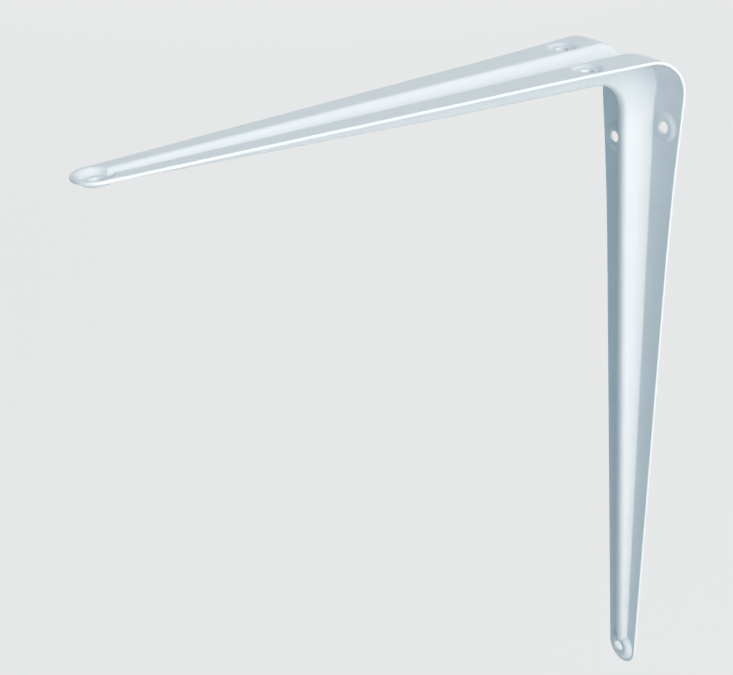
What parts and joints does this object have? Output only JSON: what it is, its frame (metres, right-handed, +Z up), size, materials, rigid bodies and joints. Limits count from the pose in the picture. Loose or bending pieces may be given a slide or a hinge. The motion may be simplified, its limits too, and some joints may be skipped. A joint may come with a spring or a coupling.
{
  "type": "shelf bracket",
  "caption": "L-shaped pressed steel shelf bracket: two tapered arms joined by a rounded bend, stiffened by a trough pressed along both arms, with dished screw holes.",
  "frame": {"origin": "where the wall face's plane (x = 0) and the shelf face's plane (z = 0) meet, on the bracket's middle plane", "axes": "+X out from the wall along the shelf arm, +Z up out of the shelf arm's bearing face, wall arm down -Z, Y across the sheet"},
  "size_m": [0.25, 0.0498, 0.3],
  "materials": {
    "painted_steel": "smooth baked white enamel on pressed sheet steel, semi-gloss"
  },
  "bodies": {
    "root": {"bracket": "painted_steel"}
  },
  "joints": []
}
